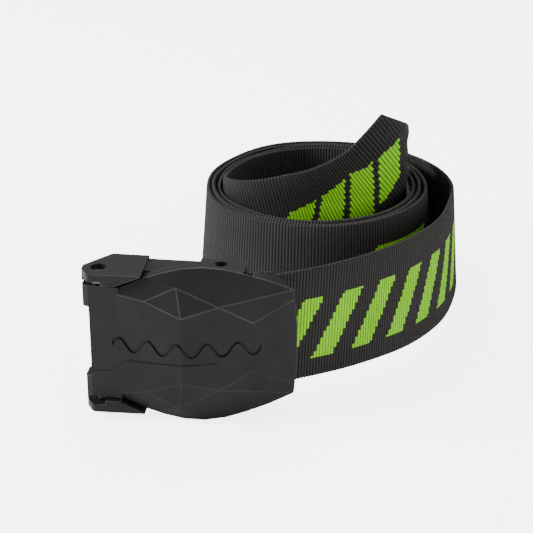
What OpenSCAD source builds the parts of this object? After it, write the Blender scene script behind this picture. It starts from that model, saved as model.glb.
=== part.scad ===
/* [Strap] */
// Width of the webbing
strap_w = 50; // [38:0.5:52]
// Thickness of the webbing
strap_t = 1.8; // [1.2:0.1:2]
// Distance from one turn of the coil to the next
turn_pitch = 2.8; // [2.4:0.1:3.2]
// How far the free end climbs for each millimetre along it, before it steepens
free_end_slope = 0.25; // [0.1:0.01:0.3]
// Length along the free end, from the coil to the top corner of its slanted cut
free_end_len = 98; // [85:1:100]
// How far the slanted cut runs along the strap
cut_slant = 49; // [30:1:52]
// How far the coil's lower edge stands out beyond its upper edge
flare = 3.6; // [0:0.2:4]
// Length of the fixed end that folds back past the bar, along its top edge
tail_len = 21; // [16:1:24]
// How far the cut of the folded tail runs along the strap
tail_slant = 44; // [10:1:48]

/* [Coil] */
// Half width of the coil's outer turn, to the left and right of its centre
coil_half_x = 53; // [51:0.5:56]
// Half depth of the coil's outer turn, towards the back
coil_half_back = 58; // [55:0.5:60]
// Half depth of the coil's outer turn, towards the buckle
coil_half_front = 52.6; // [51:0.2:55]
// How far the outer run swings out beyond the coil on the right
outer_swing = 10; // [6:0.5:14]

/* [Buckle] */
// Height over the two hinge ears
ears_h = 62; // [60:0.5:64]
// Height of the lever where it is broadest
lever_h = 68.8; // [66:0.2:72]
// Height of the lever's hinge knuckles
knuckle_h = 50; // [49:0.1:50.4]
// Wall thickness of the lever's shell
lever_wall = 2.6; // [2:0.1:3.2]
// Radius of the lever's knuckles
knuckle_r = 6.2; // [5.6:0.1:6.4]
// Thickness of the base plate under the strap
plate_t = 3.4; // [2.6:0.1:3.6]
// Number of teeth on the cam
tooth_count = 5; // [3:1:6]

/* [Pins] */
// Radius of the hinge pin
hinge_r = 3.2; // [2.5:0.1:3.4]
// Radius of the bar that the strap loops round
bar_r = 2.5; // [2:0.1:2.6]
// Length of both pins
pin_len = 58; // [54:0.5:60]

/* [Fits] */
// Radial clearance of the hinge pin in the lever
running_fit = 0.05; // [0.02:0.01:0.1]
// Gap between the folded strap and its bar
loop_gap = 0.3; // [0.1:0.05:0.4]
// Gap between the strap's edge and the buckle's side rails
side_gap = 0.8; // [0.5:0.1:1]

/* [Hidden] */
$fn = 64;

black_plastic = [0.10, 0.10, 0.105];
black_nylon = [0.05, 0.05, 0.05];
steel = [0.62, 0.63, 0.65];
thread = [0.02, 0.02, 0.02];

// Plan positions, from the middle of the footprint. The buckle faces -Y and its hinge is at the left.
hinge = [-67.65, -96.85];
bar = hinge + [48.1, 9.1];
coil = [6.75, 43.95];
buckle_z = lever_h / 2;
strap_lift = buckle_z - strap_w / 2;

// The buckle is drawn about its hinge: u runs along it, v towards the wearer, height from its middle.
inside_h = strap_w / 2 + side_gap;
ear_h = ears_h / 2;
rail_h = ear_h - 1.4;
frame_back = 13.8;
rail_front = 1.5;
rail_end = 58.4;
ear_end = 18.1;
lug_start = 39.4;

// ---- Plan curves of the strap -------------------------------------------------------------------

function bezier(a, b, c, d, n) =
    [for (i = [0:n]) let (t = i / n, s = 1 - t)
        s * s * s * a + 3 * s * s * t * b + 3 * s * t * t * c + t * t * t * d];

function heading(angle) = [cos(angle), sin(angle)];

// Half widths of the coil at its right, back, left and front, in that order round the spiral.
half_sizes = [coil_half_x, coil_half_back, coil_half_x, coil_half_front];
function reach(quarter) =
    half_sizes[quarter % 4] - turn_pitch * floor(quarter / 4) + (quarter == 0 ? outer_swing : 0);

// A point on the spiral, whose angle starts at the coil's right and grows with every turn.
function spiral_point(angle) =
    let (quarter = floor(angle / 90),
         along_x = reach(quarter % 2 == 0 ? quarter : quarter + 1),
         along_y = reach(quarter % 2 == 0 ? quarter + 1 : quarter))
    coil + [along_x * cos(angle), along_y * sin(angle)];

coil_turns = 3.5;
coil_end_angle = coil_turns * 360;
coil_step = 4;
coil_path = [for (angle = [0:coil_step:coil_end_angle]) spiral_point(angle)];

// The outer run leaves the bar at the back of the lever and swings round to the coil's right.
loop_r = bar_r + loop_gap + strap_t / 2;
run_angle = 23.8;
run_start = bar + loop_r * [sin(run_angle), -cos(run_angle)];
run_handle = 54.5;
coil_handle = [0, 63];
outer_run_path = bezier(run_start, run_start + run_handle * heading(run_angle),
                        coil_path[0] - coil_handle, coil_path[0], 44);

// The free end leaves the coil's left, crosses the inside and lies against the right wall.
wall_angle = 12;
wall_last = 68;
wall_gap = 0.4;
wall_handle = 20;
wall_reach = [reach(16) - wall_gap, reach(17) - wall_gap];
function wall_point(angle) = coil + [wall_reach[0] * cos(angle), wall_reach[1] * sin(angle)];
wall_heading = atan2(wall_reach[1] * cos(wall_angle), -wall_reach[0] * sin(wall_angle));
coil_inner_end = coil_path[len(coil_path) - 1];
free_end_path = concat(
    bezier(coil_inner_end, coil_inner_end - coil_handle,
           wall_point(wall_angle) - wall_handle * heading(wall_heading), wall_point(wall_angle), 40),
    [for (angle = [wall_angle + coil_step:coil_step:wall_last]) wall_point(angle)]);

// Length along a path up to each of its points.
function lengths(path, i = 0, total = 0) =
    i == len(path) ? [] :
    let (here = total + (i == 0 ? 0 : norm(path[i] - path[i - 1])))
    concat([here], lengths(path, i + 1, here));

// Index of the last point that lies no further along the path than here.
function index_at(s, here) = max([for (i = [0:len(s) - 1]) if (s[i] <= here) i]);

// Unit normal of a path at one of its points, to the left of its direction.
function side(path, i) =
    let (ahead = path[min(i + 1, len(path) - 1)] - path[max(i - 1, 0)])
    [-ahead[1], ahead[0]] / norm(ahead);

// The tail rounds the bar and comes back against the inner face of the outer run.
layer_gap = 0.1;
function beside_run(i) = outer_run_path[i] + side(outer_run_path, i) * (strap_t + layer_gap);
tail_angle = 20;
tail_leaves = bar + loop_r * [-sin(tail_angle), cos(tail_angle)];
tail_meets = 8;
tail_last = 22;
tail_handle = 10;
tail_path = concat(
    [for (angle = [run_angle - 90:-12:run_angle - 260]) bar + loop_r * heading(angle)],
    bezier(tail_leaves, tail_leaves + tail_handle * heading(tail_angle),
           beside_run(tail_meets) * 3 - beside_run(tail_meets + 1) * 2, beside_run(tail_meets), 10),
    [for (i = [tail_meets + 1:tail_last]) beside_run(i)]);

// ---- Heights of the strap's edges ----------------------------------------------------------------

// The free end starts to climb before it leaves the wall, steadily at first and then more steeply.
climb_from = -24;
climb_lead = 30;
steepen_at = 58;
steepen_to = 98;
steepening = 0.0126;
function steep_part(s) = min(max(0, s - steepen_at), steepen_to - steepen_at);
function slope(s) =
    free_end_slope * min(1, max(0, s - climb_from) / climb_lead) + steepening * steep_part(s);
function rise(s) =
    let (climbing = max(0, s - climb_from), steep = steep_part(s))
    free_end_slope * (climbing < climb_lead ? pow(climbing, 2) / (2 * climb_lead) : climbing - climb_lead / 2)
        + steepening * (pow(steep, 2) / 2 + (steepen_to - steepen_at) * max(0, s - steepen_to));
run_lengths = lengths(outer_run_path);
run_len = run_lengths[len(run_lengths) - 1];
function run_low(s) = strap_lift * (0.5 + 0.5 * cos(180 * max(0, s) / run_len));
function climbing_low(s) = strap_w + rise(s) - strap_w * sqrt(1 + pow(slope(s), 2));

// Height of the upper edge, which a slanted cut takes down from its corner by drop over the slant's length.
function cut_height(s, corner, slant, drop, corner_z, low) =
    s <= corner ? corner_z : max(low + 1, corner_z - (s - corner) / slant * drop);

// The lower edge stands out, fully from flare_full along the outer run up to the free end.
flare_from = 20;
flare_full = 115;
flare_fade = 50;
function ramp(t) = let (u = min(1, max(0, t))) u * u * (3 - 2 * u);
function run_flare(s) = flare * ramp((s - flare_from) / (flare_full - flare_from));
function free_flare(s) = flare * (1 - ramp(s / flare_fade));

// ---- One length of strap -------------------------------------------------------------------------

// A strap on edge along a plan path, with the height of its lower and upper edge at every point, and how
// far its lower edge stands out.
module ribbon(path, low, high, out) {
    last = len(path) - 1;
    corners = [for (i = [0:last])
        let (left = side(path, i), across = left * strap_t / 2, foot = path[i] - left * out[i])
        each [[each foot - across, low[i]], [each foot + across, low[i]],
              [each path[i] + across, high[i]], [each path[i] - across, high[i]]]];
    walls = [for (i = [0:last - 1], k = [0:3])
        let (a = 4 * i + k, b = 4 * i + (k + 1) % 4)
        each [[a, b, b + 4], [a, b + 4, a + 4]]];
    ends = [[0, 3, 2], [0, 2, 1],
            [4 * last, 4 * last + 1, 4 * last + 2], [4 * last, 4 * last + 2, 4 * last + 3]];
    polyhedron(points = corners, faces = concat(walls, ends), convexity = 8);
}

module strap_outer_run() {
    low = [for (here = run_lengths) run_low(here)];
    color(black_nylon)
        ribbon(outer_run_path, low, [for (z = low) z + strap_w], [for (here = run_lengths) run_flare(here)]);
}

module strap_coil() {
    s = lengths(coil_path);
    total = s[len(s) - 1];
    from_end = [for (here = s) here - total];
    color(black_nylon)
        ribbon(coil_path, [for (here = from_end) climbing_low(here)],
               [for (here = from_end) strap_w + rise(here)], [for (here = s) flare]);
}

module strap_free_end() {
    s = lengths(free_end_path);
    tip = index_at(s, free_end_len + cut_slant);
    corner_z = strap_w + rise(free_end_len);
    low = [for (i = [0:tip]) climbing_low(s[i])];
    high = [for (i = [0:tip])
        let (top = s[i] < free_end_len ? strap_w + rise(s[i]) : corner_z)
        cut_height(s[i], free_end_len, cut_slant, strap_w / 2, top, low[i])];
    color(black_nylon)
        ribbon([for (i = [0:tip]) free_end_path[i]], low, high, [for (i = [0:tip]) free_flare(s[i])]);
}

module folded_tail() {
    past_bar = [for (here = lengths(tail_path)) here - loop_r * PI];
    last = index_at(past_bar, tail_len + tail_slant);
    full_drop = strap_w + 4;
    low = [for (i = [0:last]) run_low(past_bar[i])];
    high = [for (i = [0:last])
        cut_height(past_bar[i], tail_len, tail_slant, full_drop, low[i] + strap_w, low[i])];
    color(black_nylon)
        ribbon([for (i = [0:last]) tail_path[i]], low, high, [for (i = [0:last]) run_flare(past_bar[i])]);
}

// ---- Stitching: a box of thread through the outer run and the folded tail ------------------------

stitch_len = 2.2;
stitch_wide = 0.7;
stitch_high = 0.35;
stitch_pitch = 3;
stitch_from = 22;
stitch_columns = 4;
stitch_rows = [14, 38];

// One stitch on each face of the two layers, lying along the strap, or up it when turned.
module stitch(here, z, turned) {
    i = index_at(run_lengths, here);
    ahead = outer_run_path[i + 1] - outer_run_path[i];
    place = outer_run_path[i] + ahead * (here - run_lengths[i]) / norm(ahead);
    inner_face = strap_t * 3 / 2 + layer_gap;
    for (face = [-strap_t / 2 - stitch_high / 2, inner_face + stitch_high / 2])
        translate([place[0], place[1], z]) rotate([0, 0, atan2(ahead[1], ahead[0])])
            translate([0, face, 0])
                cube([turned ? stitch_wide : stitch_len, stitch_high, turned ? stitch_len : stitch_wide],
                     center = true);
}

module stitching() {
    columns = [for (i = [0:stitch_columns - 1]) stitch_from + i * stitch_pitch];
    color(thread) {
        for (here = [columns[0], columns[stitch_columns - 1]],
             z = [stitch_rows[0]:stitch_pitch:stitch_rows[1]])
            stitch(here, z, true);
        for (z = [stitch_rows[0] - stitch_pitch, stitch_rows[1] + stitch_pitch],
             i = [1:stitch_columns - 2])
            stitch(columns[i], z, false);
    }
}

// ---- Buckle --------------------------------------------------------------------------------------

function unit(v) = v / norm(v);

// An outline whose corners are rounded, each by its own radius.
function rounded(corners, radii) =
    let (n = len(corners), steps = 6)
    [for (i = [0:n - 1])
        let (at = corners[i],
             back = unit(corners[(i + n - 1) % n] - at), on = unit(corners[(i + 1) % n] - at),
             half = acos(back * on) / 2, r = radii[i],
             centre = at + unit(back + on) * r / sin(half),
             first = at + back * r / tan(half) - centre, last = at + on * r / tan(half) - centre)
        each r == 0 ? [at]
            : [for (k = [0:steps]) centre + r * unit(first * (1 - k / steps) + last * k / steps)]];

// What is drawn inside stands at the buckle's place; both_sides repeats it above and below its middle.
module at_buckle() translate([hinge[0], hinge[1], buckle_z]) children();
module both_sides() for (flip = [0, 1]) mirror([0, 0, flip]) children();

ear_outline = rounded([[-6.6, -2.0], [-3.2, -7.6], [ear_end + 0.2, -7.0], [ear_end, frame_back],
                       [2.8, frame_back], [-6.6, 1.4]], [2, 3, 0.4, 0.6, 1.5, 2]);
rail_outline = rounded([[2, rail_front], [rail_end, rail_front], [rail_end, frame_back], [2, frame_back]],
                       [0, 3, 3, 0]);
lug_outline = rounded([[lug_start, rail_front], [rail_end, rail_front], [rail_end, frame_back],
                       [lug_start, frame_back]], [1, 3, 3, 1]);

ear_cut_depth = 12;
ear_relief = 1.8;

// One side of the frame: its rail, the hinge ear and the lug for the bar.
module cheek() {
    difference() {
        translate([0, 0, inside_h]) {
            linear_extrude(rail_h - inside_h) polygon(rail_outline);
            linear_extrude(ear_h - inside_h) polygon(ear_outline);
            linear_extrude(ear_h - inside_h) polygon(lug_outline);
        }
        cylinder(h = 2 * ear_h, r = hinge_r);
        translate([bar[0] - hinge[0], bar[1] - hinge[1], 0]) cylinder(h = 2 * ear_h, r = bar_r);
        // The lever widens past the ear, so the ear's front is cut back to clear it.
        translate([0, rail_front, inside_h])
            rotate([90, 0, 0]) linear_extrude(ear_cut_depth)
                polygon([[8.2, -1], [8.2, 0.3], [ear_end + 1, 5], [ear_end + 1, -1]]);
        // Relief beside the knuckle
        translate([-7, -9, inside_h - 1]) cube([9, 7, ear_relief + 1]);
    }
}

module base_plate() {
    anvil = [-3.4, 13];
    tie = [26, 32];
    front = frame_back - plate_t;
    edge_r = plate_t / 2;
    for (span = [anvil, tie]) {
        translate([span[0], front, -inside_h - 1])
            cube([span[1] - span[0], plate_t, 2 * inside_h + 2]);
        for (end = span)
            translate([end, front + edge_r, -inside_h - 1]) cylinder(h = 2 * inside_h + 2, r = edge_r);
    }
}

module buckle_frame() {
    color(black_plastic) at_buckle() {
        both_sides() cheek();
        base_plate();
    }
}

module hinge_pin() {
    color(steel) at_buckle() cylinder(h = pin_len, r = hinge_r, center = true);
}

module webbing_bar() {
    color(steel) translate([bar[0], bar[1], buckle_z]) cylinder(h = pin_len, r = bar_r, center = true);
}

// The lever's faceted front: its rim, then the creases, ridge and peaks inside it, as u, v, height.
lever_rim = [[9.4, -5.1, 25], [19, -4.9, 29.4], [25.8, -4.4, 31.8], [34, -3.7, 33.8],
             [42.5, -2.7, lever_h / 2], [51, -1.2, 33.4], [59, 0.5, 31.1], [68.8, 2.7, 27.6],
             [78.2, 5.1, 23.3], [78.6, 5, 19.5]];
lever_creases = [[8.4, -6, 22], [19.5, -7.5, 20.4], [34.5, -9.6, 14.5], [49.3, -5.6, 18.6],
                 [32.5, -7.3, 27], [62.3, -1.7, 10.8], [79.4, 5.5, 6]];
lever_back = 1;
lever_inner_end = 74.5;
hook_from = 61.6;
hook_back = [[70.8, 11, 26.2], [62, 6, 29]];

function pushed_in(point) = [min(point[0], lever_inner_end), point[1] + lever_wall, point[2] - lever_wall];
function flipped(points) = concat(points, [for (p = points) [p[0], p[1], -p[2]]]);
function moved_back(points, v) = [for (p = points) [p[0], v, p[2]]];

module solid_of(points) {
    hull() polyhedron(points = points, faces = [for (i = [0:len(points) - 3]) [i, i + 1, i + 2]]);
}

module lever_shell() {
    rim_back = moved_back([for (p = lever_rim) if (p[1] < lever_back) p], lever_back);
    inner = [for (p = concat(lever_rim, lever_creases)) if (p[0] > 9) pushed_in(p)];
    hook_inner = [[67.4, 14, 23.4], [12, 14, 25.6]];
    difference() {
        solid_of(flipped(concat(lever_rim, lever_creases, rim_back, hook_back)));
        solid_of(flipped(concat(inner, moved_back([for (p = inner) if (p[0] < 66) p], 14), hook_inner)));
        translate([-10, lever_back, -lever_h]) cube([hook_from + 10, 40, 2 * lever_h]);
    }
}

// The hinge end: knuckles around the pin, and the toothed cam that presses the strap on the base plate.
module lever_hinge_end() {
    cam_r = 8.2;
    tooth_depth = 0.9;
    cam_from = 58;
    cam_span = 64;
    recess_depth = 2.6;
    recess_h = 31;
    half_tooth = cam_span / (2 * tooth_count);
    teeth = [for (i = [0:2 * tooth_count])
        (cam_r - (i % 2 == 0 ? tooth_depth : 0)) * heading(cam_from + i * half_tooth)];
    knuckle = rounded([[-knuckle_r, -4], [-3.6, -5.1], [9, -6], [9, 1], [4.4, 4.4], [-4.4, 4.4],
                       [-knuckle_r, 2]], [1.2, 1, 0, 0, 2, 3, 1]);
    difference() {
        union() {
            linear_extrude(knuckle_h, center = true) polygon(knuckle);
            linear_extrude(knuckle_h - 1, center = true) polygon(concat(teeth, [[-4, 0], [4, 0]]));
        }
        translate([-knuckle_r - 1, -9, -recess_h / 2]) cube([recess_depth + 1, 14, recess_h]);
    }
}

module cam_lever() {
    color(black_plastic) at_buckle() difference() {
        union() {
            lever_shell();
            lever_hinge_end();
        }
        cylinder(h = lever_h, r = hinge_r + running_fit, center = true);
    }
}

buckle_frame();
cam_lever();
hinge_pin();
webbing_bar();
strap_outer_run();
strap_coil();
strap_free_end();
folded_tail();
stitching();
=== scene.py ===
"""A diver's weight belt: a strap of ribbed webbing coiled on its edge, closed by a moulded cam buckle."""
import math

import bmesh
import bpy
import numpy as np
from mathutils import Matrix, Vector


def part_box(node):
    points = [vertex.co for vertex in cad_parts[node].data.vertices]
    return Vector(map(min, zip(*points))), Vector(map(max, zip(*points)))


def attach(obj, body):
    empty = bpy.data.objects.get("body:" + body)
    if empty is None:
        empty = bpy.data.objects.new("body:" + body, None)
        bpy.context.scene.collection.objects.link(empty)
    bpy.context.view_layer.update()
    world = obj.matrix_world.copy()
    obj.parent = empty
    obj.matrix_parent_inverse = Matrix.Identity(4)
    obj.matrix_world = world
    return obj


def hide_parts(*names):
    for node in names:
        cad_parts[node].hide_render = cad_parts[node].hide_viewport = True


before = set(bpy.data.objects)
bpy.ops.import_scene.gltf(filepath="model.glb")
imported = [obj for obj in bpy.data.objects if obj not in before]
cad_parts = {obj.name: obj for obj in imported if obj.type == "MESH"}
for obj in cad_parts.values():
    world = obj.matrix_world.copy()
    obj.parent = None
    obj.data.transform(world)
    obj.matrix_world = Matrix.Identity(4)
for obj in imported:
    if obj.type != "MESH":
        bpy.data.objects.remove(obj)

bl_info = {
    "name": "Dive weight belt",
    "version": (1, 0, 0),
    "blender": (4, 5, 0),
    "location": "View3D > Sidebar > Weight Belt",
    "description": "Builds a coiled webbing weight belt with its cam buckle",
    "category": "Add Mesh",
}

MM = 0.001
SHARP = math.radians(28)
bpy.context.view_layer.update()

# The buckle is laid out about its hinge: u along the buckle, v towards the wearer, h from its middle.
PIN_LOW, PIN_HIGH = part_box("hinge_pin")
BAR_LOW, BAR_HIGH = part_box("webbing_bar")
HINGE = (PIN_LOW + PIN_HIGH) / 2
BAR = (BAR_LOW + BAR_HIGH) / 2
COIL_LOW, COIL_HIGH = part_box("strap_coil")


# ---- Settings -----------------------------------------------------------------------------------


class WebbingSettings(bpy.types.PropertyGroup):
    """Sizes and colours of the webbing strap."""

    width: bpy.props.FloatProperty(
        name="Width", description="Width of the webbing", default=50 * MM, unit="LENGTH")
    thickness: bpy.props.FloatProperty(
        name="Thickness", description="Thickness of the webbing over its ribs",
        default=1.8 * MM, unit="LENGTH")
    turn_pitch: bpy.props.FloatProperty(
        name="Turn pitch", description="Distance from one turn of the coil to the next",
        default=2.8 * MM, unit="LENGTH")
    flare: bpy.props.FloatProperty(
        name="Flare", description="How far the strap's lower edge stands out beyond its upper edge",
        default=3.6 * MM, unit="LENGTH")
    rib_pitch: bpy.props.FloatProperty(
        name="Rib pitch", description="Distance from one rib of the weave to the next",
        default=1.45 * MM, unit="LENGTH")
    yarn_pitch: bpy.props.FloatProperty(
        name="Yarn pitch", description="Distance between the yarns that bind the ribs",
        default=0.95 * MM, unit="LENGTH")
    ground: bpy.props.StringProperty(
        name="Ground", description="Colour of the ribs, as sRGB hex", default="363432")
    # The gap colour is painted shade, down in the grooves between the ribs.
    gap: bpy.props.StringProperty(
        name="Gap", description="Colour between the ribs, as sRGB hex", default="040404")
    motif: bpy.props.StringProperty(
        name="Motif", description="Colour of the woven bars, as sRGB hex", default="94E812")
    # The motif gap colour is painted shade in the grooves between the green bars' yarns.
    motif_groove_shade: bpy.props.StringProperty(
        name="Motif gap", description="Colour between the yarns of the woven bars, as sRGB hex",
        default="4C8209")


class BuckleSettings(bpy.types.PropertyGroup):
    """Sizes and colours of the buckle."""

    edge: bpy.props.FloatProperty(
        name="Edge radius", description="Radius on the mouldings' edges", default=0.28 * MM, unit="LENGTH")
    panel_depth: bpy.props.FloatProperty(
        name="Panel depth", description="Depth of the lever's middle panel", default=0.4 * MM, unit="LENGTH")
    engraving: bpy.props.FloatProperty(
        name="Engraving", description="Depth of the wave line in the panel", default=0.7 * MM, unit="LENGTH")
    plastic: bpy.props.StringProperty(
        name="Plastic", description="Colour of the mouldings, as sRGB hex", default="131314")
    # The worn edge colour is partly real wear and partly a painted highlight on the mouldings' rounded
    # edges.
    wear_and_highlight: bpy.props.StringProperty(
        name="Worn edge", description="Colour of the mouldings' rubbed edges, as sRGB hex", default="333334")
    # The handled colour is the worn edge colour darkened as painted shade, for the lower creases that face
    # down away from the light.
    wear_in_shade: bpy.props.StringProperty(
        name="Handled", description="Colour of the edges that are rubbed less, as sRGB hex",
        default="212122")
    steel: bpy.props.StringProperty(
        name="Steel", description="Colour of the pins, as sRGB hex", default="A9A8A4")


class StageSettings(bpy.types.PropertyGroup):
    """Camera, light and floor."""

    lens: bpy.props.FloatProperty(
        name="Lens", description="Focal length on a 36 mm sensor, in mm", default=108.07)
    distance: bpy.props.FloatProperty(
        name="Distance", description="Distance from the camera to its target", default=0.705, unit="LENGTH")
    azimuth: bpy.props.FloatProperty(
        name="Azimuth", description="Camera's turn about the upright axis",
        default=math.radians(7.5), subtype="ANGLE")
    elevation: bpy.props.FloatProperty(
        name="Elevation", description="Camera's height above the horizon",
        default=math.radians(24.5), subtype="ANGLE")
    floor: bpy.props.StringProperty(
        name="Floor", description="Colour of the floor, as sRGB hex", default="F7F7F7")


# ---- Shared helpers -----------------------------------------------------------------------------


def linear(hex_text):
    """An sRGB hex colour as linear red, green, blue and alpha."""
    parts = [int(hex_text[i:i + 2], 16) / 255 for i in (0, 2, 4)]
    return [c / 12.92 if c <= 0.04045 else ((c + 0.055) / 1.055) ** 2.4 for c in parts] + [1.0]


def add_node(tree, kind, inputs=None, **settings):
    """Adds a node with its settings; an input's value is a number, a colour or another node's socket."""
    made = tree.nodes.new(kind)
    for name, value in settings.items():
        setattr(made, name, value)
    for key, value in (inputs or {}).items():
        if isinstance(value, bpy.types.NodeSocket):
            tree.links.new(value, made.inputs[key])
        else:
            made.inputs[key].default_value = value
    return made


def new_material(name):
    """A material with an empty node tree, and the tree."""
    material = bpy.data.materials.new(name)
    material.use_nodes = True
    material.node_tree.nodes.clear()
    return material, material.node_tree


def surface(tree, inputs):
    """The shader that ends a material."""
    shader = add_node(tree, "ShaderNodeBsdfPrincipled", inputs)
    add_node(tree, "ShaderNodeOutputMaterial", {"Surface": shader.outputs["BSDF"]})


def take_only(obj):
    """Selects one object and makes it active."""
    bpy.ops.object.select_all(action="DESELECT")
    obj.select_set(True)
    bpy.context.view_layer.objects.active = obj


def copy_of_node(node, name):
    """A copy of a CAD node's mesh as a new piece, with its loose triangles merged into whole faces."""
    piece = bpy.data.objects.new(name, bpy.data.objects[node].data.copy())
    bpy.context.scene.collection.objects.link(piece)
    piece.data.materials.clear()
    take_only(piece)
    bpy.ops.object.mode_set(mode="EDIT")
    bpy.ops.mesh.select_all(action="SELECT")
    bpy.ops.mesh.remove_doubles(threshold=0.002 * MM)
    bpy.ops.mesh.dissolve_limited(angle_limit=math.radians(0.4))
    bpy.ops.object.mode_set(mode="OBJECT")
    return piece


def bevel_edges(piece, chosen, width, slot=1):
    """Rounds the chosen edges; the new faces get the material of that slot, which is a rubbed edge painted
    lighter than the plastic, as wear and as a painted highlight.
    """
    mesh = bmesh.new()
    mesh.from_mesh(piece.data)
    layers = mesh.edges.layers.float
    weight = layers.get("bevel_weight_edge") or layers.new("bevel_weight_edge")
    for edge in mesh.edges:
        edge[weight] = len(edge.link_faces) == 2 and chosen(edge)
    mesh.to_mesh(piece.data)
    mesh.free()
    take_only(piece)
    bevel = piece.modifiers.new("Edges", "BEVEL")
    bevel.width = width
    bevel.segments = 2
    bevel.limit_method = "WEIGHT"
    bevel.use_clamp_overlap = False
    bevel.material = slot
    bpy.ops.object.modifier_apply(modifier=bevel.name)


def buckle_place(point):
    """A point's place about the hinge, in mm: along the buckle, towards the wearer, from its middle."""
    return (point - HINGE) / MM


def wearing_in(piece, body, slot_name, *nodes):
    """Seats a finished piece on its body, in place of CAD nodes."""
    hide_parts(*nodes)
    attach(piece, body)


# ---- Materials ----------------------------------------------------------------------------------


def moulded_nylon(name, hex_text, roughness):
    """Glass-filled nylon, injection moulded: matte black, with a fine eroded grain and faint clouds."""
    material, tree = new_material(name)
    place = add_node(tree, "ShaderNodeTexCoord").outputs["Object"]
    # The grain of the tool is about 0.1 mm; it is drawn at 0.35 mm so that it shows.
    grain = add_node(tree, "ShaderNodeTexNoise", {"Vector": place, "Scale": 1 / (0.35 * MM), "Detail": 2.0})
    # Handling leaves lighter clouds 12 mm across.
    clouds = add_node(tree, "ShaderNodeTexNoise", {"Vector": place, "Scale": 1 / (12 * MM), "Detail": 4.0})
    cloud_light = add_node(
        tree, "ShaderNodeMapRange", {"Value": clouds.outputs["Fac"], "From Min": 0.35, "From Max": 0.75,
                                     "To Min": 0.85, "To Max": 1.22}).outputs["Result"]
    grain_light = add_node(
        tree, "ShaderNodeMapRange", {"Value": grain.outputs["Fac"], "From Min": 0.3, "From Max": 0.7,
                                     "To Min": 0.93, "To Max": 1.07}).outputs["Result"]
    light = add_node(
        tree, "ShaderNodeMath", {0: cloud_light, 1: grain_light}, operation="MULTIPLY").outputs[0]
    colour = add_node(
        tree, "ShaderNodeVectorMath", {0: linear(hex_text)[:3], "Scale": light}, operation="SCALE")
    rough = add_node(
        tree, "ShaderNodeMapRange", {"Value": clouds.outputs["Fac"], "From Min": 0.3, "From Max": 0.7,
                                     "To Min": roughness + 0.06, "To Max": roughness - 0.06})
    bump = add_node(tree, "ShaderNodeBump", {"Height": grain.outputs["Fac"], "Strength": 0.25,
                                             "Distance": 0.06 * MM})
    surface(tree, {"Base Color": colour.outputs["Vector"], "Roughness": rough.outputs["Result"],
                   "Normal": bump.outputs["Normal"], "IOR": 1.52, "Specular IOR Level": 0.2})
    return material


def drawn_steel(name, hex_text):
    """Stainless bar, cold drawn: bright grey with fine lines along its length."""
    material, tree = new_material(name)
    place = add_node(tree, "ShaderNodeTexCoord").outputs["Object"]
    # Drawing lines are finer than can show, so they are 0.3 mm apart, stretched along the pin.
    stretched = add_node(tree, "ShaderNodeMapping", {"Vector": place, "Scale": (1, 1, 0.02)}).outputs[0]
    lines = add_node(
        tree, "ShaderNodeTexNoise", {"Vector": stretched, "Scale": 1 / (0.3 * MM)}).outputs["Fac"]
    rough = add_node(tree, "ShaderNodeMapRange", {"Value": lines, "To Min": 0.22, "To Max": 0.42})
    bump = add_node(tree, "ShaderNodeBump", {"Height": lines, "Strength": 0.15, "Distance": 0.02 * MM})
    surface(tree, {"Base Color": linear(hex_text), "Metallic": 1.0, "Roughness": rough.outputs["Result"],
                   "Normal": bump.outputs["Normal"]})
    return material


# What is woven into the strap in green, in mm. Each group: the length along the strap to its middle, its
# half length, the height of its middle, its half height, how fast it narrows to its ends, the distance
# between its bars, and the share of that distance which is green.
WOVEN_GROUPS = [
    (132, 104, -3, 13.5, 0, 21, 0.5),
    (479, 18, -2, 13.5, 0, 44, 1),
    (1370, 31, -1, 14.5, 0.25, 15.5, 0.8),
]
BAR_SLANT = 0.55


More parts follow.
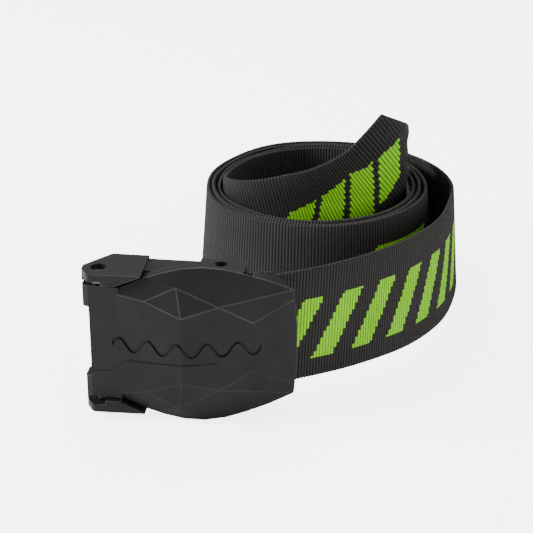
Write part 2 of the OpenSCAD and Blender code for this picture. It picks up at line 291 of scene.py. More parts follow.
def woven_nylon(settings):
    """Jacquard webbing of spun yarn: round ribs across it, bound by finer yarns, with woven-in bars."""
    material, tree = new_material("woven_nylon_webbing")
    cloth = add_node(tree, "ShaderNodeUVMap", uv_map="cloth").outputs["UV"]
    along, across, _ = add_node(tree, "ShaderNodeSeparateXYZ", {"Vector": cloth}).outputs
    rib_no = add_node(
        tree, "ShaderNodeMath", {0: along, 1: 1 / settings.rib_pitch}, operation="MULTIPLY").outputs[0]
    yarn_no = add_node(
        tree, "ShaderNodeMath", {0: across, 1: 1 / settings.yarn_pitch}, operation="MULTIPLY").outputs[0]
    # Every other rib is bound half a yarn along, as a plain weave is.
    rib_whole = add_node(tree, "ShaderNodeMath", {0: rib_no}, operation="FLOOR").outputs[0]
    half_yarn = add_node(tree, "ShaderNodeMath", {0: rib_whole, 1: 0.5}, operation="MULTIPLY").outputs[0]
    bound = add_node(tree, "ShaderNodeMath", {0: yarn_no, 1: half_yarn}, operation="ADD").outputs[0]
    rib_wave = add_node(tree, "ShaderNodeMath", {0: rib_no, 1: 0.5}, operation="PINGPONG").outputs[0]
    yarn_wave = add_node(tree, "ShaderNodeMath", {0: bound, 1: 0.5}, operation="PINGPONG").outputs[0]
    rib = add_node(tree, "ShaderNodeMapRange", {"Value": rib_wave, "From Max": 0.4},
                   interpolation_type="SMOOTHSTEP").outputs[0]
    yarn = add_node(tree, "ShaderNodeMapRange", {"Value": yarn_wave, "From Max": 0.3},
                    interpolation_type="SMOOTHSTEP").outputs[0]

    # The bars are stepped on the grid of ribs and yarns.
    whole_along = add_node(
        tree, "ShaderNodeMath", {0: along, 1: settings.rib_pitch}, operation="SNAP").outputs[0]
    whole_across = add_node(
        tree, "ShaderNodeMath", {0: across, 1: settings.yarn_pitch}, operation="SNAP").outputs[0]
    slanted = add_node(tree, "ShaderNodeMath", {0: whole_across, 1: -BAR_SLANT, 2: whole_along},
                       operation="MULTIPLY_ADD").outputs[0]
    outward = add_node(tree, "ShaderNodeAttribute", attribute_name="outward").outputs["Fac"]
    motif = 0.0
    for middle, half_length, height, half_height, taper, spacing, share in WOVEN_GROUPS:
        here = add_node(tree, "ShaderNodeMath", {0: slanted, 1: -middle * MM}, operation="ADD").outputs[0]
        inside = add_node(
            tree, "ShaderNodeMath", {0: here, 1: 0.0, 2: half_length * MM}, operation="COMPARE").outputs[0]
        off_middle = add_node(tree, "ShaderNodeMath", {0: here}, operation="ABSOLUTE").outputs[0]
        limit = add_node(tree, "ShaderNodeMath", {0: off_middle, 1: -taper, 2: half_height * MM},
                         operation="MULTIPLY_ADD").outputs[0]
        up = add_node(tree, "ShaderNodeMath", {0: whole_across, 1: -height * MM}, operation="ADD").outputs[0]
        off_height = add_node(tree, "ShaderNodeMath", {0: up}, operation="ABSOLUTE").outputs[0]
        within = add_node(
            tree, "ShaderNodeMath", {0: off_height, 1: limit}, operation="LESS_THAN").outputs[0]
        bar_no = add_node(
            tree, "ShaderNodeMath", {0: here, 1: 1 / (spacing * MM)}, operation="MULTIPLY").outputs[0]
        in_bar = add_node(tree, "ShaderNodeMath", {0: bar_no}, operation="FRACT").outputs[0]
        green = add_node(tree, "ShaderNodeMath", {0: in_bar, 1: share}, operation="LESS_THAN").outputs[0]
        green = add_node(tree, "ShaderNodeMath", {0: green, 1: inside}, operation="MULTIPLY").outputs[0]
        motif = add_node(
            tree, "ShaderNodeMath", {0: green, 1: within, 2: motif}, operation="MULTIPLY_ADD").outputs[0]
    motif = add_node(tree, "ShaderNodeMath", {0: motif, 1: outward}, operation="MULTIPLY").outputs[0]
    motif = add_node(tree, "ShaderNodeMath", {0: motif, 1: 0.5}, operation="GREATER_THAN").outputs[0]

    # The relief is the ribs' and yarns' height. Besides the bump, it paints shade, darkening the colour
    # towards the gap colour down in the grooves.
    relief = add_node(
        tree, "ShaderNodeMath", {0: yarn, 1: 0.65, 2: 0.35}, operation="MULTIPLY_ADD").outputs[0]
    relief = add_node(tree, "ShaderNodeMath", {0: rib, 1: relief}, operation="MULTIPLY").outputs[0]
    # The spun yarn's fibres vary in tone over a few tenths of a millimetre, and the dye over centimetres.
    fibres = add_node(tree, "ShaderNodeTexNoise", {"Vector": cloth, "Scale": 1 / (0.5 * MM), "Detail": 3.0})
    dye = add_node(tree, "ShaderNodeTexNoise", {"Vector": cloth, "Scale": 1 / (30 * MM)})
    tone = add_node(tree, "ShaderNodeMapRange", {"Value": fibres.outputs["Fac"], "From Min": 0.25,
                                                 "From Max": 0.75, "To Min": 0.78, "To Max": 1.2}).outputs[0]
    dyed = add_node(tree, "ShaderNodeMapRange", {"Value": dye.outputs["Fac"], "From Min": 0.3,
                                                 "From Max": 0.7, "To Min": 0.92, "To Max": 1.08}).outputs[0]
    tone = add_node(tree, "ShaderNodeMath", {0: tone, 1: dyed}, operation="MULTIPLY").outputs[0]
    # Painted shade: low in the relief the colour goes to the near-black gap colour, and on the crowns to the
    # ground colour; the green bars alike.
    black = add_node(tree, "ShaderNodeMix", {0: relief, 6: linear(settings.gap), 7: linear(settings.ground)},
                     data_type="RGBA").outputs[2]
    green = add_node(
        tree, "ShaderNodeMix", {0: relief, 6: linear(settings.motif_groove_shade), 7: linear(settings.motif)},
        data_type="RGBA").outputs[2]
    yarns = add_node(tree, "ShaderNodeMix", {0: motif, 6: black, 7: green}, data_type="RGBA").outputs[2]
    shaded = add_node(
        tree, "ShaderNodeVectorMath", {0: yarns, "Scale": tone}, operation="SCALE").outputs["Vector"]
    # A hot knife melts the cut ends to a hard bead, which is darker and glossier than the ribs.
    seal = add_node(tree, "ShaderNodeAttribute", attribute_name="seal").outputs["Fac"]
    colour = add_node(
        tree, "ShaderNodeMix", {0: seal, 6: shaded, 7: linear("1E1C1B")}, data_type="RGBA").outputs[2]
    rough = add_node(tree, "ShaderNodeMapRange", {"Value": seal, "To Min": 0.82, "To Max": 0.42}).outputs[0]
    woven = add_node(tree, "ShaderNodeMath", {0: fibres.outputs["Fac"], 1: 0.25, 2: relief},
                     operation="MULTIPLY_ADD").outputs[0]
    bump = add_node(tree, "ShaderNodeBump", {"Height": woven, "Strength": 0.8, "Distance": 0.3 * MM})
    surface(tree, {"Base Color": colour, "Roughness": rough, "Normal": bump.outputs["Normal"],
                   "Specular IOR Level": 0.2})
    return material


def bonded_thread(name):
    """Bonded nylon thread: three plies twisted hard together, slightly glossier than the webbing."""
    material, tree = new_material(name)
    place = add_node(tree, "ShaderNodeTexCoord").outputs["Object"]
    turned = add_node(tree, "ShaderNodeMapping", {"Vector": place, "Rotation": (0.6, 0.6, 0.4)}).outputs[0]
    # The plies' twist is 0.5 mm.
    plies = add_node(
        tree, "ShaderNodeTexWave", {"Vector": turned, "Scale": 0.5 / (0.5 * MM), "Distortion": 0.5})
    # Painted shade: the colour follows the plies' relief, dark down between the plies and lighter on their
    # crowns.
    tone = add_node(
        tree, "ShaderNodeMix", {0: plies.outputs["Fac"], 6: linear("141313"), 7: linear("4A4847")},
        data_type="RGBA").outputs[2]
    bump = add_node(tree, "ShaderNodeBump", {"Height": plies.outputs["Fac"], "Strength": 0.5,
                                             "Distance": 0.1 * MM})
    surface(tree, {"Base Color": tone, "Roughness": 0.5, "Normal": bump.outputs["Normal"]})
    return material


def floor_paper(hex_text):
    """Translucent backdrop paper: even, matte and very pale, with a barely seen mottle, lit from behind."""
    material, tree = new_material("backdrop_paper")
    place = add_node(tree, "ShaderNodeTexCoord").outputs["Object"]
    mottle = add_node(tree, "ShaderNodeTexNoise", {"Vector": place, "Scale": 4.0}).outputs["Fac"]
    tone = add_node(tree, "ShaderNodeMapRange", {"Value": mottle, "To Min": 0.99, "To Max": 1.0}).outputs[0]
    colour = add_node(
        tree, "ShaderNodeVectorMath", {0: linear(hex_text)[:3], "Scale": tone}, operation="SCALE")
    # The glow is for the camera alone, so the belt keeps its own light.
    seen = add_node(tree, "ShaderNodeLightPath").outputs["Is Camera Ray"]
    glow = add_node(tree, "ShaderNodeMath", {0: seen, 1: 4.0}, operation="MULTIPLY").outputs[0]
    surface(tree, {"Base Color": colour.outputs["Vector"], "Roughness": 0.95, "Specular IOR Level": 0.1,
                   "Emission Color": (1, 1, 1, 1), "Emission Strength": glow})
    return material


# ---- The strap's route --------------------------------------------------------------------------

# Lengths here are in mm, in plan; the route is the same as that of the strap's solids.
STRAP_LIFT = 9.4
LOOP_R = 3.7
RUN_ANGLE = 23.8
TAIL_ANGLE = 20.0
TAIL_LEN = 21.0
TAIL_SLANT = 44.0
TAIL_MEETS = 8 / 44
FREE_END_LEN = 114.6
CUT_SLANT = 16.7
FREE_SLOPE = 0.25
CLIMB_FROM = -24.0
CLIMB_LEAD = 30.0
STEEPEN_AT = 58.0
STEEPEN_TO = 98.0
STEEPENING = 0.0149
COIL_QUARTERS = 14
HALF_X = 53.0
HALF_BACK = 58.0
HALF_FRONT = 52.6
OUTER_SWING = 10.0
COIL_HANDLE = 63.0
RUN_HANDLE = 54.5
RUN_STEPS = 400
TAIL_HANDLE = 10.0
TAIL_STEPS = 240
LAYER_GAP = 0.1
WALL_GAP = 0.4
WALL_ANGLE = 12
WALL_HEADING = 100.7
WALL_HANDLE = 20
WALL_END = 69
MEET_HANDLE = 8
JOIN_STEPS = 60
CROSSING_STEPS = 300


def heading(angle):
    """Unit vector in plan at an angle in degrees."""
    return np.array([math.cos(math.radians(angle)), math.sin(math.radians(angle))])


def bezier(a, b, c, d, steps):
    """Points of a cubic curve."""
    t = np.linspace(0, 1, steps + 1)[:, None]
    return (1 - t) ** 3 * a + 3 * (1 - t) ** 2 * t * b + 3 * (1 - t) * t ** 2 * c + t ** 3 * d


def lengths(path):
    """Length along a path up to each of its points."""
    return np.concatenate([[0], np.cumsum(np.linalg.norm(np.diff(path, axis=0), axis=1))])


def left_of(path):
    """Unit normals to the left of a path's direction."""
    ahead = np.gradient(path, axis=0)
    return np.stack([-ahead[:, 1], ahead[:, 0]], 1) / np.linalg.norm(ahead, axis=1)[:, None]


class Route:
    """The strap's middle line in plan, measured along from where the strap leaves the bar."""

    def __init__(self, settings):
        self.pitch = settings.turn_pitch / MM
        self.width = settings.width / MM
        thick = settings.thickness / MM
        bar = np.array(BAR.xy) / MM
        # The coil's solid reaches half a thickness beyond its middle line, and its lower edge stands out.
        left = COIL_LOW.x / MM + thick / 2
        back = COIL_HIGH.y / MM - thick / 2
        flare = settings.flare / MM
        self.centre = np.array([left + flare + HALF_X, back - flare - HALF_BACK])

        start = bar + LOOP_R * heading(RUN_ANGLE - 90)
        coil = np.array([self.spiral(a) for a in np.arange(0, COIL_QUARTERS * 90 + 0.1, 1.0)])
        run = bezier(
            start, start + RUN_HANDLE * heading(RUN_ANGLE), coil[0] - [0, COIL_HANDLE], coil[0], RUN_STEPS)
        self.run_len = lengths(run)[-1]
        self.coil_end = self.run_len + lengths(coil)[-1]

        beside = run + left_of(run) * (thick + LAYER_GAP)
        meets = int(TAIL_MEETS * RUN_STEPS)
        leaves = bar + LOOP_R * heading(TAIL_ANGLE + 90)
        ahead = beside[meets] - beside[meets + 1]
        angles = np.arange(RUN_ANGLE - 93, TAIL_ANGLE - 270, -3.0)
        round_bar = np.array([bar + LOOP_R * heading(a) for a in angles])
        joining = bezier(leaves, leaves + TAIL_HANDLE * heading(TAIL_ANGLE),
                         beside[meets] + ahead / np.linalg.norm(ahead) * MEET_HANDLE, beside[meets],
                         JOIN_STEPS)
        tail = np.concatenate([round_bar, joining, beside[meets + 1:TAIL_STEPS]])

        # Past the coil, the free end crosses to its right wall and leans on it.
        wall = np.array([self.reach(16) - WALL_GAP, self.reach(17) - WALL_GAP])
        against = [self.centre + wall * heading(a) for a in np.arange(WALL_ANGLE + 1, WALL_END, 1.0)]
        lean_on = self.centre + wall * heading(WALL_ANGLE)
        crossing = bezier(coil[-1], coil[-1] - [0, COIL_HANDLE],
                          lean_on - WALL_HANDLE * heading(WALL_HEADING), lean_on, CROSSING_STEPS)

        self.points = np.concatenate([tail[::-1], run, coil[1:], crossing[1:], against])
        self.along = lengths(self.points) - lengths(tail[::-1])[-1] - np.linalg.norm(tail[0] - run[0])
        self.normals = left_of(self.points)
        self.loop = LOOP_R * math.pi
        self.first = -(self.loop + TAIL_LEN + TAIL_SLANT)
        self.last = self.coil_end + FREE_END_LEN + CUT_SLANT

    def reach(self, quarter):
        """Half width of the spiral at a quarter turn, counted from its outer end at the right."""
        half = [HALF_X, HALF_BACK, HALF_X, HALF_FRONT][quarter % 4]
        return half - self.pitch * (quarter // 4) + (OUTER_SWING if quarter == 0 else 0)

    def spiral(self, angle):
        """A point of the coil."""
        quarter = int(angle // 90)
        even = quarter % 2 == 0
        halves = [self.reach(quarter if even else quarter + 1), self.reach(quarter + 1 if even else quarter)]
        return self.centre + np.array(halves) * heading(angle)

    def at(self, here):
        """Plan point and left normal at lengths along the route."""
        point = np.stack([np.interp(here, self.along, self.points[:, k]) for k in (0, 1)], -1)
        normal = np.stack([np.interp(here, self.along, self.normals[:, k]) for k in (0, 1)], -1)
        return point, normal / np.linalg.norm(normal, axis=-1, keepdims=True)

    def slope(self, here):
        """How fast the strap climbs for each millimetre along it."""
        past = np.abs(here) - self.loop * (here < 0)
        share = np.clip(past, 0, self.run_len)
        lift = -STRAP_LIFT / 2 * math.pi / self.run_len * np.sin(math.pi * share / self.run_len)
        lift = lift * np.sign(here)
        free = here - self.coil_end
        climb = np.clip((free - CLIMB_FROM) / CLIMB_LEAD, 0, 1) * FREE_SLOPE
        return lift + climb + STEEPENING * np.clip(free - STEEPEN_AT, 0, STEEPEN_TO - STEEPEN_AT)

    def middle(self, here):
        """Height of the strap's middle line."""
        past = np.clip(np.abs(here) - self.loop * (here < 0), 0, self.run_len)
        low = STRAP_LIFT * (0.5 + 0.5 * np.cos(math.pi * past / self.run_len))
        free = here - self.coil_end
        lead = np.clip(free - CLIMB_FROM, 0, CLIMB_LEAD)
        rise = FREE_SLOPE * (lead ** 2 / (2 * CLIMB_LEAD) + np.maximum(0, free - CLIMB_FROM - CLIMB_LEAD))
        span = STEEPEN_TO - STEEPEN_AT
        steeper = np.clip(free - STEEPEN_AT, 0, span)
        rise = rise + STEEPENING * (steeper ** 2 / 2 + span * np.maximum(0, free - STEEPEN_TO))
        steep = np.sqrt(1 + self.slope(here) ** 2)
        tilted = np.where(free > CLIMB_FROM, steep, 1)
        return low + self.width + rise - self.width / 2 * tilted


def smooth_step(value, start, end):
    """0 before start, 1 after end, and smooth between."""
    t = np.clip((value - start) / (end - start), 0, 1)
    return t * t * (3 - 2 * t)


def strap_mesh(settings):
    """The whole strap as one closed mesh with its ribs, rounded selvedges and slanted ends."""
    route = Route(settings)
    rib = settings.rib_pitch / MM
    half_w = route.width / 2
    step = rib / 4
    count = int((route.last - route.first) / step)
    line = np.linspace(0, 1, count)

    # One ring round the strap: across it from -1 to 1, and out from its middle from -1 to 1.
    flat = np.linspace(-0.975, 0.975, 7)
    ring = [(w, 1.0) for w in flat] + [(0.993, 0.72), (1.0, 0.0), (0.993, -0.72)]
    ring += [(w, -1.0) for w in flat[::-1]] + [(-0.993, -0.72), (-1.0, 0.0), (-0.993, 0.72)]
    ring = np.array(ring)
    across = ring[:, 0][None, :] * half_w
    out = ring[:, 1][None, :]

    # Each line across ends where the slanted cuts let it; the last stretch fans out to meet them.
    shift = (half_w - across) / route.width
    end = route.last - CUT_SLANT + CUT_SLANT * shift
    begin = route.first + TAIL_SLANT - TAIL_SLANT * shift
    plain = route.first + (route.last - route.first) * line[:, None]
    fan_end, fan_begin = route.last - CUT_SLANT - 12, route.first + TAIL_SLANT + 8
    t_end = np.clip((plain - fan_end) / (route.last - fan_end), 0, 1)
    t_begin = np.clip((fan_begin - plain) / (fan_begin - route.first), 0, 1)
    here = plain + (end - route.last) * t_end + (begin - route.first) * t_begin

    slope = np.arctan(route.slope(here))
    place = here - across * np.sin(slope)
    point, left = route.at(place)
    height = route.middle(here) + across * np.cos(slope)

    # The ribs swell and the selvedge beads with them; a melted cut is a little thicker.
    swell = np.abs(np.sin(math.pi * here / rib)) ** 0.7
    sealed = np.exp(-np.minimum(end - here, here - begin) / 0.7)
    half_t = settings.thickness / MM / 2 * (0.82 + 0.16 * np.maximum(swell, sealed))
    bead = 0.35 * (swell - 1) * (np.abs(ring[:, 0]) > 0.98)[None, :]
    height = height + np.sign(across) * bead

    # Loose turns wander a little, their lower edges stand out, and their tops aren't quite level.
    loose = smooth_step(here, 45, 120) * (1 - smooth_step(here, route.coil_end + 10, route.coil_end + 60))
    wander = loose * (0.16 * np.sin(here / 15.4) + 0.14 * np.sin(here / 6.7 + 1))
    flare = settings.flare / MM * smooth_step(here, 20, 115) * (1 - np.clip(height / route.width, 0, 1.2))
    flare = flare * (1 - smooth_step(here, route.coil_end - 20, route.coil_end + 50))
    raised = loose * (0.35 + 0.3 * np.sin(here / 33) + 0.15 * np.sin(here / 9))
    outward = out * half_t + wander + flare
    co = np.concatenate([point - left * outward[..., None], (height + raised)[..., None]], -1) * MM
    rows, cols = co.shape[:2]

    index = np.arange(rows * cols).reshape(rows, cols)
    nxt = np.roll(index, -1, axis=1)
    quads = np.stack([index[:-1], nxt[:-1], nxt[1:], index[1:]], -1).reshape(-1, 4).tolist()
    caps = [index[0][::-1].tolist(), index[-1].tolist()]
    mesh = bpy.data.meshes.new("webbing_strap")
    mesh.from_pydata(co.reshape(-1, 3).tolist(), [], quads + caps)

    cloth = mesh.uv_layers.new(name="cloth")
    vertex_uv = np.stack([here, np.broadcast_to(across, here.shape)], -1).reshape(-1, 2) * MM
    loop_vertex = np.empty(len(mesh.loops), dtype=np.int32)
    mesh.loops.foreach_get("vertex_index", loop_vertex)
    cloth.data.foreach_set("uv", vertex_uv[loop_vertex].ravel().astype(np.float32))
    outer = np.broadcast_to(out > 0, here.shape)
    for name, values in (("outward", outer), ("seal", np.clip(sealed * 1.3, 0, 1))):
        layer = mesh.attributes.new(name, "FLOAT", "POINT")
        layer.data.foreach_set("value", values.astype(np.float32).ravel())
    return mesh, route


class BELT_OT_webbing(bpy.types.Operator):
    """The strap: folded tail round the bar, outer run, coil and free end, in one piece"""

    bl_idname = "belt.webbing"
    bl_label = "Make the webbing"

    def execute(self, context):
        settings = context.scene.belt_webbing
        mesh, route = strap_mesh(settings)
        piece = bpy.data.objects.new("webbing_strap", mesh)
        context.scene.collection.objects.link(piece)
        mesh.materials.append(woven_nylon(settings))
        take_only(piece)
        bpy.ops.object.mode_set(mode="EDIT")
        bpy.ops.mesh.select_all(action="SELECT")
        bpy.ops.mesh.normals_make_consistent(inside=False)
        bpy.ops.object.mode_set(mode="OBJECT")
        bpy.ops.object.shade_smooth_by_angle(angle=math.radians(50))
        wearing_in(piece, "strap", "webbing",
                   "strap_outer_run", "strap_coil", "strap_free_end", "folded_tail")
        return {"FINISHED"}


STITCH_LEN = 2.2
STITCH_R = 0.35
STITCH_PITCH = 3.0
STITCH_BOX = [(22, 14), (31, 38)]


class BELT_OT_thread(bpy.types.Operator):
    """The box of stitches that holds the folded tail to the strap"""

    bl_idname = "belt.thread"
    bl_label = "Make the stitching"

    def execute(self, context):
        settings = context.scene.belt_webbing
        route = Route(settings)
        thick = settings.thickness / MM
        bpy.ops.object.select_all(action="DESELECT")
        bpy.ops.mesh.primitive_cylinder_add(vertices=8, radius=STITCH_R * MM, depth=STITCH_LEN * MM)
        model = context.object
        bpy.ops.object.mode_set(mode="EDIT")
        bpy.ops.mesh.select_all(action="DESELECT")
        mesh = bmesh.from_edit_mesh(model.data)
        for face in mesh.faces:
            face.select = abs(face.normal.z) > 0.9
        bmesh.update_edit_mesh(model.data)
        bpy.ops.mesh.bevel(offset=0.25 * MM, segments=2, affect="EDGES")
        bpy.ops.object.mode_set(mode="OBJECT")
        bpy.ops.object.shade_smooth()

        # Two upright rows, and two that lie along the strap below and above them.
        (start, low), (end, high) = STITCH_BOX
        spots = [(s, z, True) for s in (start, end) for z in np.arange(low, high + 0.1, STITCH_PITCH)]
        spots += [(s, z, False) for z in (low - STITCH_PITCH, high + STITCH_PITCH)
                  for s in (start + STITCH_PITCH, start + 2 * STITCH_PITCH)]
        made = []
        for s, z, upright in spots:
            point, left = route.at(np.array([float(s)]))
            for out in (-thick / 2 - 0.12, thick * 1.5 + 0.22):
                stitch = model.copy()
                stitch.data = model.data.copy()
                context.scene.collection.objects.link(stitch)
                place = point[0] + left[0] * out
                turn = math.atan2(-left[0][0], left[0][1])
                stitch.rotation_euler = (0, 0, turn) if upright else (0, math.radians(90), turn)
                stitch.location = Vector((place[0], place[1], z)) * MM
                made.append(stitch)
        bpy.data.objects.remove(model)
        take_only(made[0])
        for stitch in made:
            stitch.select_set(True)
        bpy.ops.object.transform_apply(location=True, rotation=True, scale=True)
        bpy.ops.object.join()
        piece = context.object
        piece.name = "tail_stitching"
        piece.data.name = piece.name
        piece.data.materials.append(bonded_thread("bonded_nylon_thread"))
        wearing_in(piece, "strap", "thread", "stitching")
        return {"FINISHED"}


class BELT_OT_frame(bpy.types.Operator):
    """The buckle's moulded frame, with its edges rounded, rubbed and painted lighter as a highlight"""

    bl_idname = "belt.frame"
    bl_label = "Make the frame"

    def execute(self, context):
        settings = context.scene.belt_buckle
        piece = copy_of_node("buckle_frame", "buckle_frame_moulding")
        piece.data.materials.append(moulded_nylon("moulded_nylon_frame", settings.plastic, 0.5))
        # The rounded edges' material is wear with a painted highlight.
        piece.data.materials.append(moulded_nylon("worn_and_lit_nylon_frame", settings.wear_and_highlight, 0.42))

        def outer_edge(edge):
            """A sharp edge that isn't on a bore or a rounded corner."""
            return edge.calc_face_angle() > SHARP and edge.calc_length() > 0.9 * MM

        bevel_edges(piece, outer_edge, settings.edge)
        take_only(piece)
        bpy.ops.object.shade_smooth_by_angle(angle=math.radians(32))
        wearing_in(piece, "frame", "moulded_nylon", "buckle_frame")
        return {"FINISHED"}


# Height of the lever's middle along it: from the hinge up to the ridge, and down to its far end.
LEVER_MIDDLE = [(-8, -5.0), (8.4, -6.0), (34.5, -9.6), (62.3, -1.7), (79.4, 5.5)]

# Corners of the lever's front above its middle, as u, v, h. The front is the same below its middle.
LEVER_RIM = [(9.4, -5.1, 25), (19, -4.9, 29.4), (25.8, -4.4, 31.8), (34, -3.7, 33.8), (42.5, -2.7, 34.4),
             (51, -1.2, 33.4), (59, 0.5, 31.1), (68.8, 2.7, 27.6), (78.2, 5.1, 23.3), (78.6, 5, 19.5),
             (79.4, 5.5, 6), (79.4, 5.5, 0)]
SHOULDER = (8.4, -6, 22)
KNEE = (19.5, -7.5, 20.4)
RIDGE_END = (34.5, -9.6, 14.5)
PEAK = (32.5, -7.3, 27)
FAR_KNEE = (49.3, -5.6, 18.6)
NOTCH_TIP = (62.3, -1.7, 10.8)
CREASES = [(SHOULDER, KNEE), (KNEE, RIDGE_END), (RIDGE_END, FAR_KNEE), (FAR_KNEE, LEVER_RIM[8]),
           (PEAK, RIDGE_END), (PEAK, KNEE), (PEAK, FAR_KNEE), (FAR_KNEE, NOTCH_TIP),
           (NOTCH_TIP, LEVER_RIM[9])]

# The lever's sunk middle panel, as u and its half height; from PANEL_FADES on, its depth runs out.
PANEL = [(-4, 13.5), (4, 12.5), (12, 7.2), (19.5, 7), (34.5, 6.6), (48, 6.4)]
PANEL_FADES = 34.5
CUT_REACH = 20
BORE_REACH = 3.9

# The engraved wave: where it starts, its length, how many waves, how far it swings and its half width.
WAVE_START = 5.5
WAVE_LENGTH = 60
WAVES = 5
WAVE_SWING = 2.9
WAVE_HALF = 0.65


def lever_front(u):
    """v of the lever's middle, at a distance along it."""
    return float(np.interp(u, [p[0] for p in LEVER_MIDDLE], [p[1] for p in LEVER_MIDDLE]))


def apply_cut(piece, mesh, name):
    """Cuts a closed mesh from the piece."""
    cutter = bpy.data.objects.new(name, bpy.data.meshes.new(name))
    bpy.context.scene.collection.objects.link(cutter)
    mesh.to_mesh(cutter.data)
    mesh.free()
    take_only(piece)
    boolean = piece.modifiers.new(name, "BOOLEAN")
    boolean.object = cutter
    boolean.solver = "EXACT"
    bpy.ops.object.modifier_apply(modifier=boolean.name)
    bpy.data.objects.remove(cutter)


def edge_middle(edge):
    """Where the middle of an edge lies about the hinge, in mm."""
    return buckle_place((edge.verts[0].co + edge.verts[1].co) / 2)


def on_crease(point, creases, reach=0.25):
    """Whether a point, in mm about the hinge, lies on one of the creases above or below the middle."""
    point = Vector((point.x, point.y, abs(point.z)))
    for start, end in creases:
        start, end = Vector(start), Vector(end)
        share = (point - start).dot(end - start) / (end - start).length_squared
        if -0.02 < share < 1.02 and (start + (end - start) * share - point).length < reach:
            return True
    return False


def cut_from(piece, rows, name):
    """Cuts away all in front of a strip; each row of it is u, v, and its lowest and highest h."""
    mesh = bmesh.new()
    grid = []
    for u, v, low, high in rows:
        back = [mesh.verts.new(HINGE + Vector((u, v, h)) * MM) for h in (low, high)]
        front = [mesh.verts.new(HINGE + Vector((u, -CUT_REACH, h)) * MM) for h in (low, high)]
        grid.append((back[0], back[1], front[1], front[0]))
    for one, two in zip(grid, grid[1:]):
        for k in range(4):
            mesh.faces.new((one[k], one[(k + 1) % 4], two[(k + 1) % 4], two[k]))
    mesh.faces.new(grid[0][::-1])
    mesh.faces.new(grid[-1])
    bmesh.ops.recalc_face_normals(mesh, faces=mesh.faces)
    apply_cut(piece, mesh, name)


class BELT_OT_lever(bpy.types.Operator):
    """The faceted lever, with rubbed creases painted lighter as highlights and the lower ones darkened as
    painted shade, its sunk middle panel and an engraved wave line
    """

    bl_idname = "belt.lever"
    bl_label = "Make the lever"

    def execute(self, context):
        settings = context.scene.belt_buckle
        piece = copy_of_node("cam_lever", "cam_lever_moulding")
        piece.data.materials.append(moulded_nylon("moulded_nylon_lever", settings.plastic, 0.5))
        # The rounded creases' material is wear with a painted highlight.
        piece.data.materials.append(moulded_nylon("worn_and_lit_nylon_lever", settings.wear_and_highlight, 0.4))
        piece.data.materials.append(moulded_nylon("handled_nylon_lever", settings.wear_in_shade, 0.45))

        depth = settings.panel_depth / MM
        panel_end = PANEL[-1][0]
        panel = []
        for u, half in PANEL:
            panel.append((u, lever_front(u) + depth * (0.02 if u == panel_end else 1), -half, half))
        cut_from(piece, panel, "Panel")
        wave = []
        for u in np.arange(WAVE_START, WAVE_START + WAVE_LENGTH + 0.1, 0.75):
            turn = (u - WAVE_START) / WAVE_LENGTH * WAVES * 2 * math.pi
            height = WAVE_SWING * math.sin(turn)
            sunk = depth * max(0.0, min(1.0, (panel_end - u) / (panel_end - PANEL_FADES)))
            floor_v = lever_front(u) + sunk + settings.engraving / MM
            # The line's upright width grows where it is steep, so that its true width stays even.
            steep = math.sqrt(1 + (WAVE_SWING * WAVES * 2 * math.pi / WAVE_LENGTH * math.cos(turn)) ** 2)
            wave.append((u, floor_v, height - WAVE_HALF * steep, height + WAVE_HALF * steep))
        cut_from(piece, wave, "Wave")

        rim = list(zip(LEVER_RIM, LEVER_RIM[1:]))
        faint = math.radians(1.5)
        shortest = 0.6 * MM

        def rubbed(edge):
            """An upper crease, the rim, or an outer edge away from the bore, the teeth and the panel. These
            get the worn colour, which is wear and a painted highlight.
            """
            middle = edge_middle(edge)
            in_bore = middle.xy.length < BORE_REACH
            if edge.calc_length() < shortest or in_bore:
                return False
            if on_crease(middle, rim) or (middle.z > 0 and on_crease(middle, CREASES)):
                return edge.calc_face_angle() > faint
            ahead = middle.y < lever_front(middle.x) + 4 and middle.x > 7
            toothed = middle.x < 12 and middle.y > 2
            cut = abs(middle.z) < 14 and middle.y < lever_front(middle.x) + 1.2
            return edge.calc_face_angle() > SHARP and not toothed and not cut and not ahead

        def wear_in_shade(edge):
            """A lower crease: rubbed like an upper one, but painted darker as shade, since it faces down
            away from the light.
            """
            middle = edge_middle(edge)
            long_enough = edge.calc_length() > shortest and edge.calc_face_angle() > faint
            return long_enough and middle.z < 0 and on_crease(middle, CREASES)

        # Lower creases get the edge colour darkened as painted shade; the other rounded edges get it as wear
        # with a painted highlight.
        bevel_edges(piece, wear_in_shade, settings.edge, 2)
        bevel_edges(piece, rubbed, settings.edge)
        mesh = bmesh.new()
        mesh.from_mesh(piece.data)
        for face in mesh.faces:
            face.smooth = True
        for edge in mesh.edges:
            rounded = {f.material_index for f in edge.link_faces}
            ahead = all(f.normal.y < -0.3 for f in edge.link_faces)
            # In front, facets stay crisp beside a rounded crease, and blend if they meet at under 7 degrees.
            limit = 25 if not ahead else 1 if len(rounded) > 1 else 7
            edge.smooth = edge.calc_face_angle(0) < math.radians(limit)
        mesh.to_mesh(piece.data)
        mesh.free()
        wearing_in(piece, "lever", "moulded_nylon_lever", "cam_lever")
        return {"FINISHED"}


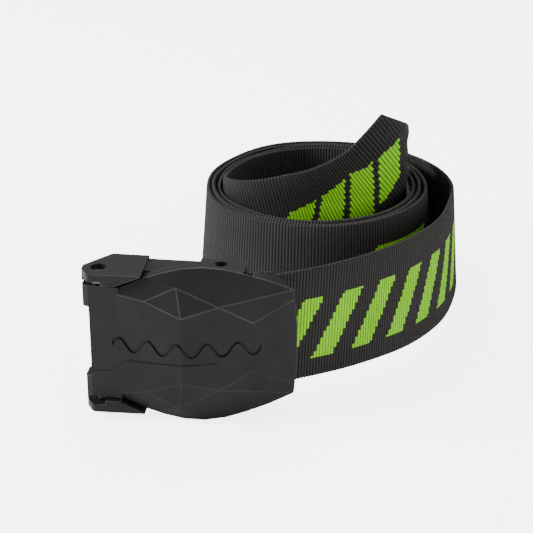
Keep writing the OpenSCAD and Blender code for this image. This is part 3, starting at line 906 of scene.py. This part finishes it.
class BELT_OT_pins(bpy.types.Operator):
    """The hinge pin and the bar that the strap loops round, with chamfered ends"""

    bl_idname = "belt.pins"
    bl_label = "Make the pins"

    def execute(self, context):
        settings = context.scene.belt_buckle
        steel = drawn_steel("drawn_stainless_steel", settings.steel)
        for node, low, high, name, slot_name in (
                ("hinge_pin", PIN_LOW, PIN_HIGH, "hinge_pin_steel", "stainless_pin"),
                ("webbing_bar", BAR_LOW, BAR_HIGH, "webbing_bar_pin", "stainless_bar")):
            bpy.ops.object.select_all(action="DESELECT")
            bpy.ops.mesh.primitive_cylinder_add(
                vertices=64, radius=(high.x - low.x) / 2, depth=high.z - low.z, location=(low + high) / 2)
            piece = context.object
            piece.name = name
            piece.data.name = name
            bpy.ops.object.mode_set(mode="EDIT")
            mesh = bmesh.from_edit_mesh(piece.data)
            bpy.ops.mesh.select_all(action="DESELECT")
            for face in mesh.faces:
                face.select = abs(face.normal.z) > 0.9
            bmesh.update_edit_mesh(piece.data)
            bpy.ops.mesh.bevel(offset=0.5 * MM, segments=2, affect="EDGES")
            bpy.ops.mesh.inset(thickness=0.9 * MM, depth=-0.15 * MM)
            bpy.ops.object.mode_set(mode="OBJECT")
            piece.data.materials.append(steel)
            bpy.ops.object.transform_apply(location=True, rotation=True, scale=True)
            bpy.ops.object.shade_smooth_by_angle(angle=math.radians(30))
            wearing_in(piece, "frame", slot_name, node)
        return {"FINISHED"}


class BELT_OT_stage(bpy.types.Operator):
    """Pale floor, soft studio light and the camera"""

    bl_idname = "belt.stage"
    bl_label = "Set the stage"

    def execute(self, context):
        settings = context.scene.belt_stage
        bpy.ops.object.select_all(action="DESELECT")
        bpy.ops.mesh.primitive_plane_add(size=8)
        floor = context.object
        floor.name = "floor"
        floor.data.materials.append(floor_paper(settings.floor))

        world = bpy.data.worlds.new("studio")
        context.scene.world = world
        world.use_nodes = True
        world.node_tree.nodes["Background"].inputs["Color"].default_value = (1, 1, 1, 1)
        world.node_tree.nodes["Background"].inputs["Strength"].default_value = 0.4

        # Name, place, size and power in watts. Each lamp points just above the middle of the floor.
        aim = Vector((0, 0, 0.03))
        lamps = [("key_left", (-1.2, -0.3, 0.7), 0.45, 37), ("top", (0.0, 0.5, 1.5), 1.4, 26),
                 ("fill_right", (1.1, -0.7, 0.6), 0.8, 13)]
        for name, place, size, power in lamps:
            lamp = bpy.data.lights.new(name, "AREA")
            lamp.size = size
            lamp.energy = power
            holder = bpy.data.objects.new(name, lamp)
            holder.location = place
            towards = aim - Vector(place)
            holder.rotation_euler = towards.to_track_quat("-Z", "Y").to_euler()
            context.scene.collection.objects.link(holder)

        camera = bpy.data.objects.new("camera", bpy.data.cameras.new("camera"))
        camera.data.lens = settings.lens
        camera.data.sensor_width = 36
        turn, tilt = settings.azimuth, settings.elevation
        back = Vector((math.sin(turn) * math.cos(tilt), -math.cos(turn) * math.cos(tilt), math.sin(tilt)))
        target = HINGE + Vector((58.4, 69.8, 3.1)) * MM
        camera.location = target + back * settings.distance
        camera.rotation_euler = (-back).to_track_quat("-Z", "Y").to_euler()
        context.scene.collection.objects.link(camera)
        context.scene.camera = camera
        return {"FINISHED"}


class BELT_PT_panel(bpy.types.Panel):
    """Lists the belt's settings and the steps that build it"""

    bl_idname = "BELT_PT_panel"
    bl_label = "Weight Belt"
    bl_space_type = "VIEW_3D"
    bl_region_type = "UI"
    bl_category = "Weight Belt"

    def draw(self, context):
        for group in (context.scene.belt_webbing, context.scene.belt_buckle, context.scene.belt_stage):
            box = self.layout.box()
            for name in group.__annotations__:
                box.prop(group, name)
        for step in STEPS:
            self.layout.operator(step.bl_idname)


STEPS = [BELT_OT_stage, BELT_OT_pins, BELT_OT_webbing, BELT_OT_thread, BELT_OT_frame, BELT_OT_lever]
GROUPS = {"belt_webbing": WebbingSettings, "belt_buckle": BuckleSettings, "belt_stage": StageSettings}
CLASSES = [*GROUPS.values(), *STEPS, BELT_PT_panel]


def register():
    """Registers the settings, the steps and the panel."""
    for cls in CLASSES:
        bpy.utils.register_class(cls)
    for name, group in GROUPS.items():
        setattr(bpy.types.Scene, name, bpy.props.PointerProperty(type=group))


def unregister():
    """Takes it all away again."""
    for name in GROUPS:
        delattr(bpy.types.Scene, name)
    for cls in reversed(CLASSES):
        bpy.utils.unregister_class(cls)


def main():
    """Builds the belt."""
    register()
    bpy.ops.belt.stage()
    bpy.ops.belt.pins()
    bpy.ops.belt.webbing()
    bpy.ops.belt.thread()
    bpy.ops.belt.frame()
    bpy.ops.belt.lever()


if __name__ == "__main__":
    main()
